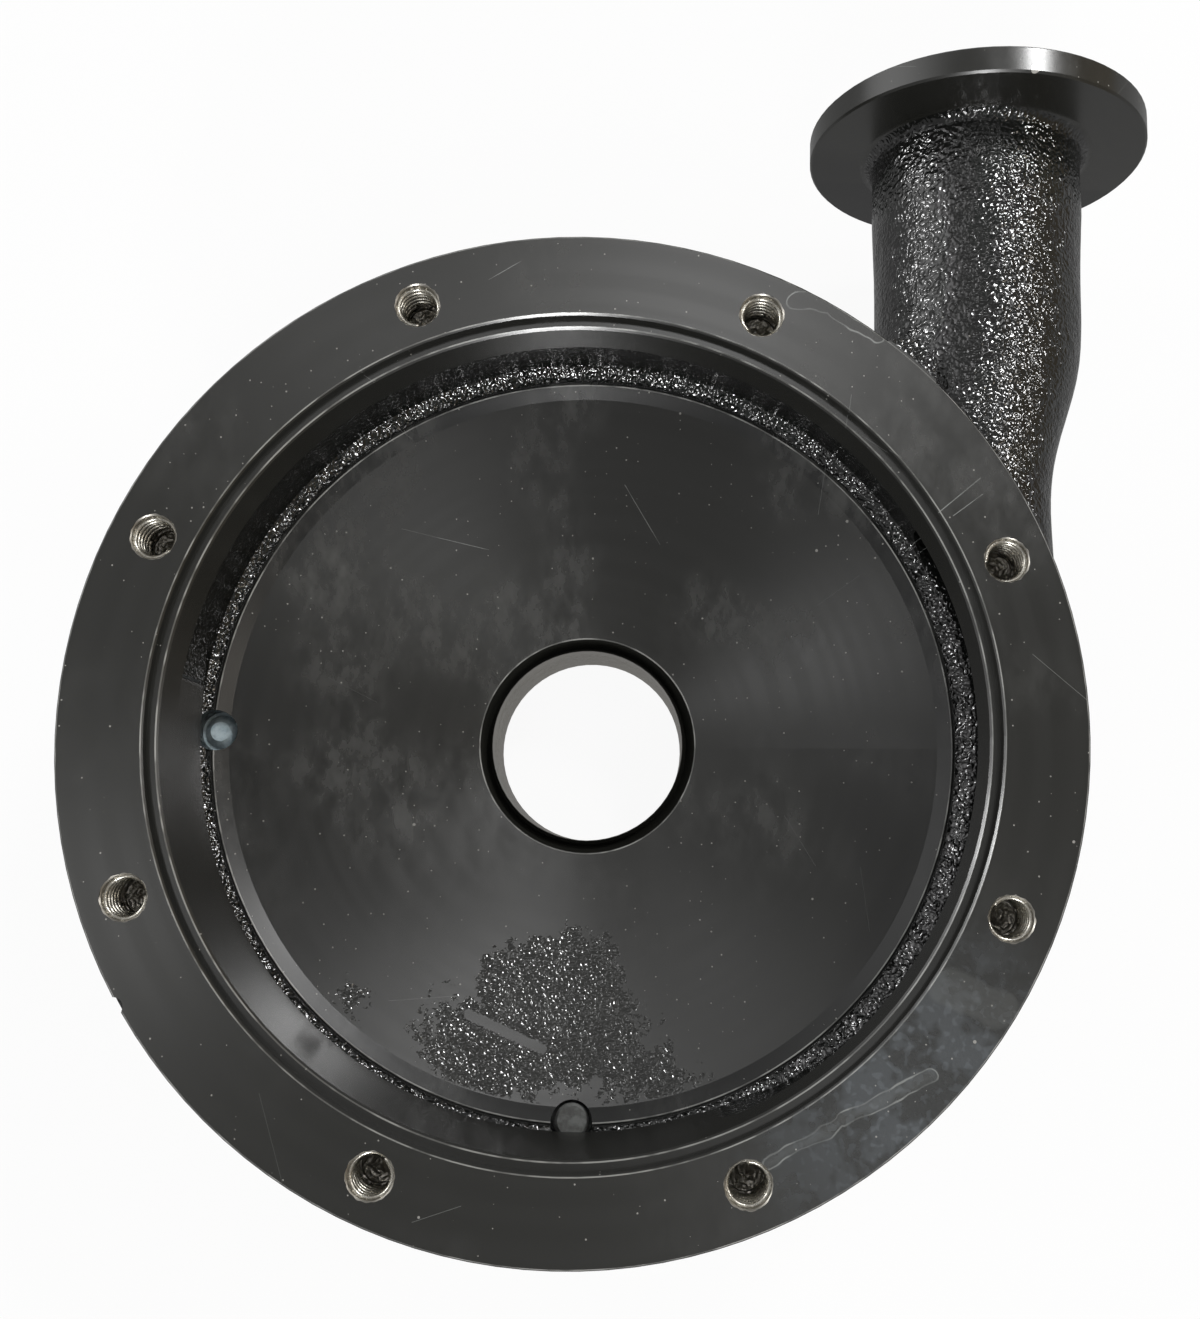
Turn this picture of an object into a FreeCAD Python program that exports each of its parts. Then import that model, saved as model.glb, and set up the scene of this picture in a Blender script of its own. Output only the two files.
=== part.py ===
"""Volute pump casing: one iron casting with machined faces, and two pipe plugs.

The casing lies on its suction face.  The origin is on the pump axis at the
suction face, +Z runs along the pump axis to the open cover face, and the
discharge nozzle points along +Y on the +X side.  Lengths are in millimetres.
"""
import FreeCAD, Part
import math
import os
import re

import Sketcher

# Every driving size has one name here and becomes one cell of the sheet.
# A depth is measured down from the cover face; a radius is from the pump axis
# unless its name says otherwise.
SIZE = {
    # whole casing
    "casing_height": 70.0,
    "flange_radius": 92.0,
    "flange_thickness": 14.0,
    "edge_break": 0.4,
    "wall": 4.8,
    "back_wall": 6.0,
    "bowl_round": 6.0,
    "drum_round": 2.0,
    # scroll cavity, left as cast
    "scroll_centre_x": 0.2,
    "channel_centre_y": 1.3,
    "channel_radius": 77.4,
    "channel_bottom_depth": 32.8,
    "lip_depth": 11.4,
    "band_depth": 25.5,
    "channel_end_y": 21.3,
    "channel_start_x": 38.9,
    "channel_lead_in": 19.2,
    "lead_in_gap": 2.7,
    "scroll_growth": 8.4,
    "throat_width": 20.4,
    "throat_roof_depth": 14.0,
    "throat_corner": 6.5,
    "throat_length": 28.0,
    "passage_blend_end": 88.0,
    "cast_step": 0.2,
    "round_flat": 0.05,
    # discharge nozzle
    "nozzle_x": 77.45,
    "nozzle_depth": 22.3,
    "neck_radius": 21.05,
    "neck_taper": 0.5,
    "nozzle_wall": 3.7,
    "scroll_left_x": 54.0,
    "scroll_top_depth": 1.3,
    "scroll_corner": 15.0,
    "hip_start_y": 44.0,
    "hip_end_y": 84.0,
    "discharge_face_y": 126.1,
    "discharge_flange_thickness": 5.2,
    "discharge_flange_radius": 34.0,
    "discharge_bore_radius": 14.0,
    "discharge_bore_length": 26.0,
    "neck_root_round": 2.5,
    "rim_pad_radius": 6.5,
    "rim_pad_inset": 3.1,
    "rim_pad_angle": 49.0,
    # machined bore, floor and suction eye
    "register_radius": 76.5,
    "register_depth": 2.0,
    "bore_radius": 74.5,
    "bore_chamfer": 0.5,
    "seat_depth": 33.3,
    "seat_undercut": 0.5,
    "land_radius": 71.7,
    "land_depth": 34.6,
    "eye_groove_radius": 22.75,
    "eye_floor_depth": 48.3,
    "eye_groove_width": 1.6,
    "eye_groove_depth": 51.5,
    "eye_lip_depth": 47.9,
    "eye_radius": 20.1,
    # suction neck and its flange
    "suction_neck_radius": 27.0,
    "suction_flange_radius": 42.0,
    "suction_flange_thickness": 7.0,
    # tapped holes for the cover screws
    "bolt_circle_radius": 83.75,
    "cover_screw_count": 8,
    "first_screw_angle": 22.5,
    "tap_drill_radius": 3.28,
    "thread_radius": 3.97,
    "thread_mouth_radius": 4.2,
    "thread_depth": 9.4,
    "drilled_depth": 10.4,
    "drill_point_angle": 118.0,
    # nick in the edge of the big flange
    "nick_angle": 213.1,
    "nick_radius": 1.6,
    # pipe plugs and their bosses
    "plug_circle_radius": 74.3,
    "plug_hole_radius": 4.05,
    "plug_hole_top_depth": 32.0,
    "plug_thread_radius": 4.9,
    "plug_thread_length": 8.0,
    "plug_thread_clearance": 0.1,
    "plug_end_radius": 3.35,
    "plug_end_round": 0.5,
    "drain_plug_end_depth": 35.2,
    "vent_plug_end_depth": 36.8,
    "vent_plug_tip": 1.4,
    "hex_key_width": 4.76,
    "hex_key_depth": 4.5,
    "boss_radius": 9.0,
    "boss_face_depth": 46.5,
}

ORIGIN = FreeCAD.Vector(0, 0, 0)
UP = FreeCAD.Vector(0, 0, 1)

document = FreeCAD.newDocument("volute_pump_casing")
sheet = document.addObject("Spreadsheet::Sheet", "Sizes")
for row, (name, value) in enumerate(SIZE.items(), start=1):
    sheet.set(f"A{row}", name)
    sheet.set(f"B{row}", str(value))
    sheet.setAlias(f"B{row}", name)
document.recompute()


# ---------------------------------------------------------------- helpers

def number(expression):
    """Value of a sum or difference of sizes, such as 'flange_radius - wall'."""
    total, sign = 0.0, 1.0
    for word in expression.split():
        if word in ("+", "-"):
            sign = -1.0 if word == "-" else 1.0
            continue
        name, _, divisor = word.partition("/")
        value = SIZE[name] if name in SIZE else float(name)
        total += sign * value / (float(divisor) if divisor else 1.0)
        sign = 1.0
    return total


def linked(expression):
    """The same sum, written so that it reads the cells of the sheet."""
    return re.sub(r"[a-z]\w*", lambda word: "Sizes." + word.group(), expression)


def bind(thing, path, expression):
    """Ties one property of an object to the sheet."""
    thing.setExpression(path, linked(expression))


def add_sketch(body, role, name, offset="0"):
    """A sketch on one of the body's own planes, moved along its normal."""
    plane = next(item for item in body.Origin.OriginFeatures if item.Role == role)
    sketch = body.newObject("Sketcher::SketchObject", name)
    sketch.AttachmentSupport = [(plane, "")]
    sketch.MapMode = "FlatFace"
    sketch.AttachmentOffset = FreeCAD.Placement(
        FreeCAD.Vector(0, 0, number(offset)), FreeCAD.Rotation())
    bind(sketch, "AttachmentOffset.Base.z", offset)
    return sketch


def hold(sketch, kind, *where, size):
    """One dimension in a sketch, tied to the sheet."""
    index = sketch.addConstraint(Sketcher.Constraint(kind, *where, number(size)))
    bind(sketch, f"Constraints[{index}]", size)


def hold_point(sketch, geometry, end, point):
    """Holds a point of a sketch at its two distances from the origin."""
    for kind, size in zip(("DistanceX", "DistanceY"), point):
        if size is not None:
            hold(sketch, kind, -1, 1, geometry, end, size=size)


def add_line(sketch, start, end):
    return sketch.addGeometry(Part.LineSegment(
        FreeCAD.Vector(*start, 0), FreeCAD.Vector(*end, 0)), False)


def add_arc(sketch, centre, radius, start, end):
    """An anticlockwise arc between two angles in degrees."""
    circle = Part.Circle(FreeCAD.Vector(*centre, 0), UP, radius)
    return sketch.addGeometry(Part.ArcOfCircle(
        circle, math.radians(start), math.radians(end)), False)


def join(sketch, *chain):
    """Joins the end of each piece of an outline to the start of the next."""
    for (here, tail), (there, head) in zip(chain[::2], chain[1::2]):
        sketch.addConstraint(Sketcher.Constraint("Coincident", here, tail, there, head))


def add_polygon(sketch, points):
    """A closed outline of straight lines through points given as sizes."""
    spots = [(number(x), number(y)) for x, y in points]
    lines = [add_line(sketch, spot, spots[(i + 1) % len(spots)])
             for i, spot in enumerate(spots)]
    for i, line in enumerate(lines):
        join(sketch, (line, 2), (lines[(i + 1) % len(lines)], 1))
        hold_point(sketch, line, 1, points[i])


def add_circle(sketch, centre, radius):
    spot = FreeCAD.Vector(number(centre[0]), number(centre[1]), 0)
    circle = sketch.addGeometry(Part.Circle(spot, UP, number(radius)), False)
    hold_point(sketch, circle, 3, centre)
    hold(sketch, "Radius", circle, size=radius)


def minus(total, taken):
    """The sum 'total' less the whole of the sum 'taken'."""
    swap = {"+": "-", "-": "+"}
    return total + " - " + " ".join(swap.get(word, word) for word in taken.split())


def add_rounded_box(sketch, left, right, bottom, top, corner):
    """A rectangle with round corners, its sides and corners given as sizes."""
    middle_x = (minus(right, corner), left + " + " + corner)
    middle_y = (bottom + " + " + corner, minus(top, corner))
    corners = [(middle_x[0], middle_y[0]), (middle_x[0], middle_y[1]),
               (middle_x[1], middle_y[1]), (middle_x[1], middle_y[0])]
    arcs = []
    for i, (x, y) in enumerate(corners):
        arc = add_arc(sketch, (number(x), number(y)), number(corner), 90 * i - 90, 90 * i)
        hold_point(sketch, arc, 3, (x, y))
        hold(sketch, "Radius", arc, size=corner)
        hold_point(sketch, arc, 1, (x, None) if i % 2 == 0 else (None, y))
        hold_point(sketch, arc, 2, (None, y) if i % 2 == 0 else (x, None))
        arcs.append(arc)
    for i, arc in enumerate(arcs):
        after = arcs[(i + 1) % 4]
        start, end = (sketch.Geometry[arc].EndPoint, sketch.Geometry[after].StartPoint)
        line = add_line(sketch, (start.x, start.y), (end.x, end.y))
        join(sketch, (arc, 2), (line, 1), (line, 2), (after, 1))


def finish(feature, label):
    """Recomputes, and stops at once if the feature failed."""
    feature.Label = label
    document.recompute()
    if "Invalid" in feature.State or "Error" in feature.State:
        raise RuntimeError(label + " failed")
    if hasattr(feature, "Shape") and feature.Shape.isNull():
        raise RuntimeError(label + " is empty")
    return feature


def add_revolution(body, sketch, label, kind="Revolution", axis="V_Axis"):
    feature = body.newObject("PartDesign::" + kind, label)
    feature.Profile = sketch
    feature.ReferenceAxis = (sketch, [axis])
    feature.Angle = 360
    return finish(feature, label)


def add_pad(body, sketch, label, length, kind="Pad", reverse=False):
    feature = body.newObject("PartDesign::" + kind, label)
    feature.Profile = sketch
    feature.Type = 0
    bind(feature, "Length", length)
    feature.Reversed = reverse
    return finish(feature, label)


def must_change(body, before, sign, label):
    """Checks that a feature has added (+1) or removed (-1) material."""
    change = (body.Shape.Volume - before) * sign
    if change <= 0:
        raise RuntimeError(label + " changes nothing")
    return body.Shape.Volume


def add_loft(body, sections, label, kind="AdditiveLoft"):
    feature = body.newObject("PartDesign::" + kind, label)
    feature.Profile = sections[0]
    feature.Sections = sections[1:]
    return finish(feature, label)


def add_sections(body, name, stations):
    """Sketches across the nozzle, each a place along it and a rounded box."""
    sections = []
    for i, (place, sides) in enumerate(stations, start=1):
        sketch = add_sketch(body, "XZ_Plane", f"{name}_{i}", minus("0", place))
        add_rounded_box(sketch, *sides)
        sections.append(finish(sketch, f"{name}_{i}"))
    return sections


def half(total):
    """Half of a sum of sizes."""
    words = []
    for word in total.split():
        name, _, divisor = word.partition("/")
        words.append(word if word in ("+", "-") else f"{name}/{2 * int(divisor or 1)}")
    return " ".join(words)


def between(start, end):
    return half(start) + " + " + half(end)


def midway(start, end):
    """The section halfway between two others."""
    return [between(*sides) for sides in zip(start, end)]


# ------------------------------------------------- the casting, outside first

COVER = "casing_height"
casing = document.addObject("PartDesign::Body", "volute_casing")
casing.Label = "volute_casing"

outside = add_sketch(casing, "XZ_Plane", "outside_profile")
add_polygon(outside, [
    ("0", COVER),
    ("flange_radius - edge_break", COVER),
    ("flange_radius", COVER + " - edge_break"),
    ("flange_radius", COVER + " - flange_thickness + edge_break"),
    ("flange_radius - edge_break", COVER + " - flange_thickness"),
    ("channel_radius", COVER + " - flange_thickness"),
    ("channel_radius", COVER + " - channel_bottom_depth - wall"),
    ("suction_neck_radius", COVER + " - eye_floor_depth - back_wall"),
    ("suction_neck_radius", "suction_flange_thickness"),
    ("suction_flange_radius - edge_break", "suction_flange_thickness"),
    ("suction_flange_radius", "suction_flange_thickness - edge_break"),
    ("suction_flange_radius", "edge_break"),
    ("suction_flange_radius - edge_break", "0"),
    ("0", "0"),
])
add_revolution(casing, outside, "rough_body")


def edges_where(body, test):
    """Names of the edges of a body whose ends and middle all pass a test."""
    names = []
    for i, edge in enumerate(body.Shape.Edges, start=1):
        middle = edge.valueAt((edge.FirstParameter + edge.LastParameter) / 2)
        if all(test(spot) for spot in [v.Point for v in edge.Vertexes] + [middle]):
            names.append(f"Edge{i}")
    return names


def add_fillet(body, test, label, radius):
    """A round on the edges of the body's last feature that pass a test."""
    base, edges = body.Tip, edges_where(body, test)
    feature = body.newObject("PartDesign::Fillet", label)
    feature.Base = (base, edges)
    bind(feature, "Radius", radius)
    return finish(feature, label)


def on_circle(radius, height):
    """A test for spots on one circle round the pump axis."""
    return lambda spot: (abs(math.hypot(spot.x, spot.y) - number(radius)) < 0.01
                         and abs(spot.z - number(height)) < 0.01)


neck_top = on_circle("suction_neck_radius", COVER + " - eye_floor_depth - back_wall")
neck_foot = on_circle("suction_neck_radius", "suction_flange_thickness")


volume = casing.Shape.Volume
for label, test, size in (("neck_top_round", neck_top, "bowl_round"),
                          ("neck_foot_round", neck_foot, "neck_root_round")):
    add_fillet(casing, test, label, size)
    volume = must_change(casing, volume, 1, label)

# The scroll's drum: round the channel's centre, then round the larger arc that
# opens towards the throat, then straight up beside it.
GROWTH_RADIUS = "channel_radius + scroll_growth"
GROWTH_CENTRE = ("scroll_centre_x", "channel_centre_y + scroll_growth")
THROAT_X = "scroll_centre_x + " + GROWTH_RADIUS
CHANNEL_CENTRE = ("scroll_centre_x", "channel_centre_y")
UNDERSIDE = COVER + " - channel_bottom_depth - wall"


def point_of(sizes):
    return tuple(number(size) for size in sizes)


def across(centre, radius, known):
    """The other coordinate's offset for a point of a circle."""
    return math.sqrt(radius ** 2 - (known - centre) ** 2)


drum = add_sketch(casing, "XY_Plane", "drum_outline", UNDERSIDE)
centre, far_centre = point_of(CHANNEL_CENTRE), point_of(GROWTH_CENTRE)
ring_size, bend_size = "channel_radius + wall", GROWTH_RADIUS + " + wall"
DRUM_END = GROWTH_CENTRE[1] + " + wall"
side, top = number(THROAT_X + " + wall"), number(DRUM_END)
ring_x = centre[0] + across(centre[1], number(ring_size), top)
start = math.degrees(math.atan2(top - centre[1], ring_x - centre[0]))
ring = add_arc(drum, centre, number(ring_size), start, 270)
bend = add_arc(drum, far_centre, number(bend_size), 270, 360)
up = add_line(drum, (side, far_centre[1]), (side, top))
closing = add_line(drum, (side, top), (ring_x, top))
join(drum, (ring, 2), (bend, 1), (bend, 2), (up, 1), (up, 2), (closing, 1),
     (closing, 2), (ring, 1))
hold_point(drum, ring, 3, CHANNEL_CENTRE)
hold(drum, "Radius", ring, size=ring_size)
hold_point(drum, ring, 1, (None, DRUM_END))
hold_point(drum, ring, 2, ("scroll_centre_x", None))
hold_point(drum, bend, 3, GROWTH_CENTRE)
hold_point(drum, bend, 2, (None, GROWTH_CENTRE[1]))
hold_point(drum, up, 2, (THROAT_X + " + wall", DRUM_END))
add_pad(casing, drum, "scroll_drum", "channel_bottom_depth + wall - flange_thickness/2")
volume = must_change(casing, volume, 1, "scroll_drum")


def on_drum_foot(spot):
    outside = math.hypot(spot.x, spot.y) > number("channel_radius + wall/2")
    return outside and abs(spot.z - number(UNDERSIDE)) < 0.01


add_fillet(casing, on_drum_foot, "drum_foot_round", "drum_round")
volume = must_change(casing, volume, -1, "drum_foot_round")

# The nozzle's outside: the scroll's section runs straight, swells over the hip
# and becomes the round neck, which is a little slimmer there than at its flange.
NOZZLE_Z = COVER + " - nozzle_depth"
FLANGE_BACK = "discharge_face_y - discharge_flange_thickness"
root_y = FLANGE_BACK + " - neck_root_round"
scroll_section = ("scroll_left_x", THROAT_X + " + nozzle_wall", UNDERSIDE,
                  COVER + " - scroll_top_depth", "scroll_corner")


def round_section(radius):
    """Sides and corner of a section that is round but for a hair's breadth."""
    return (minus("nozzle_x", radius), "nozzle_x + " + radius,
            minus(NOZZLE_Z, radius), NOZZLE_Z + " + " + radius, radius + " - round_flat")


neck_start = round_section("neck_radius - neck_taper")
neck_end = round_section("neck_radius")
hip_middle = midway(scroll_section, neck_start)
middle_y = between("hip_start_y", "hip_end_y")
neck_y = between("hip_end_y", root_y)
nozzle_sections = add_sections(casing, "nozzle_section", [
    (GROWTH_CENTRE[1], scroll_section),
    (between(GROWTH_CENTRE[1], "hip_start_y"), scroll_section),
    ("hip_start_y", scroll_section),
    (between("hip_start_y", middle_y), midway(scroll_section, midway(scroll_section, hip_middle))),
    (middle_y, hip_middle),
    (between(middle_y, "hip_end_y"), midway(neck_start, midway(neck_start, hip_middle))),
    ("hip_end_y", neck_start),
    (between("hip_end_y", neck_y), neck_start),
    (neck_y, midway(neck_start, neck_end)),
    (between(neck_y, root_y), neck_end),
    (root_y, neck_end)])
add_loft(casing, nozzle_sections, "nozzle_outside")
volume = must_change(casing, volume, 1, "nozzle_outside")

# The discharge flange is turned about the nozzle's own axis, with a cast round
# at its root.
disc = add_sketch(casing, "XY_Plane", "discharge_flange_profile", NOZZLE_Z)
DISC_EDGE = "nozzle_x + discharge_flange_radius"
outline = [("nozzle_x", root_y), ("nozzle_x + neck_radius", root_y),
           ("nozzle_x + neck_radius + neck_root_round", FLANGE_BACK),
           (DISC_EDGE + " - edge_break", FLANGE_BACK), (DISC_EDGE, FLANGE_BACK + " + edge_break"),
           (DISC_EDGE, "discharge_face_y - edge_break"),
           (DISC_EDGE + " - edge_break", "discharge_face_y"),
           ("nozzle_x", "discharge_face_y")]
spots = [point_of(point) for point in outline]
root = Part.Circle(FreeCAD.Vector(spots[2][0], spots[1][1], 0), UP,
                   number("neck_root_round"))
chain = []
for i, point in enumerate(outline):
    if i == 1:
        arc = disc.addGeometry(Part.ArcOfCircle(root, math.pi / 2, math.pi), False)
        hold_point(disc, arc, 3, (outline[2][0], None))
        hold_point(disc, arc, 2, point)
        chain += [(arc, 2), (arc, 1)]
    else:
        line = add_line(disc, spots[i], spots[(i + 1) % len(spots)])
        hold_point(disc, line, 1, point)
        chain += [(line, 1), (line, 2)]
join(disc, *(chain[1:] + chain[:1]))
axis = disc.addGeometry(Part.LineSegment(FreeCAD.Vector(*spots[0], 0),
                                         FreeCAD.Vector(*spots[-1], 0)), True)
join(disc, (axis, 1), (0, 1), (axis, 2), (len(outline) - 1, 1))
add_revolution(casing, disc, "discharge_flange", axis="Axis0")
volume = must_change(casing, volume, 1, "discharge_flange")

# Cast lump between the nozzle and the rim, faced off level with the cover face.
lump = add_sketch(casing, "XY_Plane", "rim_pad_outline", COVER)
lump.AttachmentOffset.Rotation = FreeCAD.Rotation(UP, SIZE["rim_pad_angle"])
bind(lump, "AttachmentOffset.Rotation.Angle", "rim_pad_angle")
add_circle(lump, ("flange_radius - rim_pad_inset", "0"), "rim_pad_radius")
add_pad(casing, lump, "rim_pad", "flange_thickness/2", reverse=True)
volume = must_change(casing, volume, 1, "rim_pad")

# Round bosses under the scroll for the two pipe plugs.
PLUG_SPOTS = {"vent_plug": ("- plug_circle_radius", "0"),
              "drain_plug": ("0", "- plug_circle_radius")}
BOSS_FACE = COVER + " - boss_face_depth"
bosses = add_sketch(casing, "XY_Plane", "boss_outline", BOSS_FACE)
for spot in PLUG_SPOTS.values():
    add_circle(bosses, spot, "boss_radius")
add_pad(casing, bosses, "plug_bosses", "boss_face_depth - channel_bottom_depth - wall/2")
volume = must_change(casing, volume, 1, "plug_bosses")

# --------------------------------------------------- the cored cavities, as cast

band = add_sketch(casing, "XY_Plane", "band_outline", COVER + " - band_depth")
add_circle(band, CHANNEL_CENTRE, "channel_radius")
add_pad(casing, band, "low_band", "channel_bottom_depth - band_depth", kind="Pocket")
volume = must_change(casing, volume, -1, "low_band")

# The full-height channel starts and ends on straight run-outs, where the
# machined bore cuts it off.
channel = add_sketch(casing, "XY_Plane", "channel_outline", COVER + " - lip_depth")
radius = number("channel_radius")
first_x, last_y = number("channel_start_x"), number("channel_end_y")
first = (first_x, centre[1] - across(centre[0], radius, first_x))
last = (centre[0] - across(centre[1], radius, last_y), last_y)
LEAD_IN = ("channel_lead_in", "lead_in_gap - bore_radius")
begin = math.degrees(math.atan2(first[1] - centre[1], first[0] - centre[0]))
end = math.degrees(math.atan2(last[1] - centre[1], last[0] - centre[0]))
ring = add_arc(channel, centre, radius, begin, end)
corners = [last, (last[0], 0.0), (0.0, 0.0), point_of(LEAD_IN), first]
lines = [add_line(channel, *pair) for pair in zip(corners, corners[1:])]
join(channel, (ring, 2), (lines[0], 1), (lines[0], 2), (lines[1], 1), (lines[1], 2),
     (lines[2], 1), (lines[2], 2), (lines[3], 1), (lines[3], 2), (ring, 1))
hold_point(channel, ring, 3, CHANNEL_CENTRE)
hold(channel, "Radius", ring, size="channel_radius")
hold_point(channel, ring, 1, ("channel_start_x", None))
hold_point(channel, ring, 2, (None, "channel_end_y"))
channel.addConstraint(Sketcher.Constraint("Vertical", lines[0]))
hold_point(channel, lines[1], 1, (None, "0"))
hold_point(channel, lines[2], 1, ("0", "0"))
hold_point(channel, lines[3], 1, LEAD_IN)
add_pad(casing, channel, "channel", "channel_bottom_depth - lip_depth", kind="Pocket")
volume = must_change(casing, volume, -1, "channel")

# Towards the throat the channel's wall swings out on the larger arc, under a
# lower roof that keeps metal below the tapped holes.
growth = add_sketch(casing, "XY_Plane", "growth_outline", COVER + " - throat_roof_depth")
radius = number(GROWTH_RADIUS)
first = (first_x, far_centre[1] - across(far_centre[0], radius, first_x))
last = (far_centre[0] + radius, far_centre[1])
begin = math.degrees(math.atan2(first[1] - far_centre[1], first[0] - far_centre[0]))
bend = add_arc(growth, far_centre, radius, begin, 0)
corners = [last, (0.0, far_centre[1]), point_of(LEAD_IN), first]
lines = [add_line(growth, *pair) for pair in zip(corners, corners[1:])]
join(growth, (bend, 2), (lines[0], 1), (lines[0], 2), (lines[1], 1), (lines[1], 2),
     (lines[2], 1), (lines[2], 2), (bend, 1))
hold_point(growth, bend, 3, GROWTH_CENTRE)
hold_point(growth, bend, 1, ("channel_start_x", None))
hold_point(growth, bend, 2, (THROAT_X, GROWTH_CENTRE[1]))
hold_point(growth, lines[1], 1, ("0", GROWTH_CENTRE[1]))
hold_point(growth, lines[2], 1, LEAD_IN)
add_pad(casing, growth, "scroll_growth", "channel_bottom_depth - throat_roof_depth",
        kind="Pocket")
volume = must_change(casing, volume, -1, "scroll_growth")

# The throat leaves the scroll square with round corners and turns round
# before the discharge bore.
throat_section = (THROAT_X + " - throat_width", THROAT_X,
                  COVER + " - channel_bottom_depth", COVER + " - throat_roof_depth",
                  "throat_corner")
THROAT_END = GROWTH_CENTRE[1] + " + throat_length"
BORE_START = "discharge_face_y - discharge_bore_length"
bore_section = round_section("discharge_bore_radius - cast_step")
passage_sections = add_sections(casing, "passage_section", [
    (GROWTH_CENTRE[1], throat_section),
    (THROAT_END, throat_section),
    (between(THROAT_END, "passage_blend_end"), midway(throat_section, bore_section)),
    ("passage_blend_end", bore_section),
    (BORE_START + " + cast_step", bore_section)])
add_loft(casing, passage_sections, "throat_passage", kind="SubtractiveLoft")
volume = must_change(casing, volume, -1, "throat_passage")

# ------------------------------------------------------------ the machined work

turned = add_sketch(casing, "XZ_Plane", "turned_profile")
add_polygon(turned, [
    ("0", COVER),
    ("register_radius + edge_break", COVER),
    ("register_radius", COVER + " - edge_break"),
    ("register_radius", COVER + " - register_depth"),
    ("bore_radius + bore_chamfer", COVER + " - register_depth"),
    ("bore_radius", COVER + " - register_depth - bore_chamfer"),
    ("bore_radius", COVER + " - channel_bottom_depth"),
    ("bore_radius + seat_undercut", COVER + " - channel_bottom_depth"),
    ("bore_radius + seat_undercut", COVER + " - seat_depth"),
    ("bore_radius", COVER + " - seat_depth"),
    ("land_radius", COVER + " - land_depth"),
    ("eye_groove_radius", COVER + " - eye_floor_depth"),
    ("eye_groove_radius - eye_groove_width", COVER + " - eye_groove_depth"),
    ("eye_radius", COVER + " - eye_lip_depth"),
    ("eye_radius", "0"),
    ("0", "0"),
])
add_revolution(casing, turned, "turned_bore", kind="Groove")
volume = must_change(casing, volume, -1, "turned_bore")

bore = add_sketch(casing, "XZ_Plane", "discharge_bore_outline", "- discharge_face_y")
add_circle(bore, ("nozzle_x", NOZZLE_Z), "discharge_bore_radius")
add_pad(casing, bore, "discharge_bore", "discharge_bore_length", kind="Pocket", reverse=True)
volume = must_change(casing, volume, -1, "discharge_bore")

# One hole for a cover screw: drilled blind, opened to the thread's outer radius
# over the threaded depth, then turned round the face.


def add_screw_sketch(name, radius):
    """A circle on the first screw's centre."""
    sketch = add_sketch(casing, "XY_Plane", name, COVER)
    sketch.AttachmentOffset.Rotation = FreeCAD.Rotation(UP, SIZE["first_screw_angle"])
    bind(sketch, "AttachmentOffset.Rotation.Angle", "first_screw_angle")
    add_circle(sketch, ("bolt_circle_radius", "0"), radius)
    document.recompute()
    return sketch


drilling = add_screw_sketch("screw_hole_centre", "tap_drill_radius")
hole = casing.newObject("PartDesign::Hole", "screw_drilling")
hole.Profile = drilling
hole.ThreadType = "None"
hole.DepthType = "Dimension"
hole.HoleCutType = "Countersink"
hole.DrillPoint = "Angled"
bind(hole, "Diameter", "2*tap_drill_radius")
bind(hole, "Depth", "drilled_depth")
bind(hole, "HoleCutDiameter", "2*thread_mouth_radius")
hole.HoleCutCountersinkAngle = 90
bind(hole, "DrillPointAngle", "drill_point_angle")
finish(hole, "screw_drilling")
volume = must_change(casing, volume, -1, "screw_drilling")
tapping = add_screw_sketch("screw_thread_outline", "thread_radius")
add_pad(casing, tapping, "screw_thread", "thread_depth", kind="Pocket")
volume = must_change(casing, volume, -1, "screw_thread")
pattern = casing.newObject("PartDesign::PolarPattern", "cover_screw_holes")
pattern.Originals = [hole, casing.Tip]
pattern.Axis = (drilling, ["N_Axis"])
pattern.Angle = 360
bind(pattern, "Occurrences", "cover_screw_count")
casing.Tip = pattern
finish(pattern, "cover_screw_holes")
volume = must_change(casing, volume, -1, "cover_screw_holes")

for name, radius, depth in (
        ("plug_holes", "plug_hole_radius", "boss_face_depth - plug_hole_top_depth"),
        ("plug_threads", "plug_thread_radius + plug_thread_clearance", "plug_thread_length")):
    drilled = add_sketch(casing, "XY_Plane", name + "_outline", BOSS_FACE)
    for spot in PLUG_SPOTS.values():
        add_circle(drilled, spot, radius)
    add_pad(casing, drilled, name, depth, kind="Pocket", reverse=True)
    volume = must_change(casing, volume, -1, name)

# A small nick knocked out of the rim.
nick = add_sketch(casing, "XY_Plane", "nick_outline", COVER)
nick.AttachmentOffset.Rotation = FreeCAD.Rotation(UP, SIZE["nick_angle"])
bind(nick, "AttachmentOffset.Rotation.Angle", "nick_angle")
add_circle(nick, ("flange_radius + nick_radius/3", "0"), "nick_radius")
add_pad(casing, nick, "rim_nick", "nick_radius", kind="Pocket")
must_change(casing, volume, -1, "rim_nick")

# ------------------------------------------------------------------- the plugs


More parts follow.
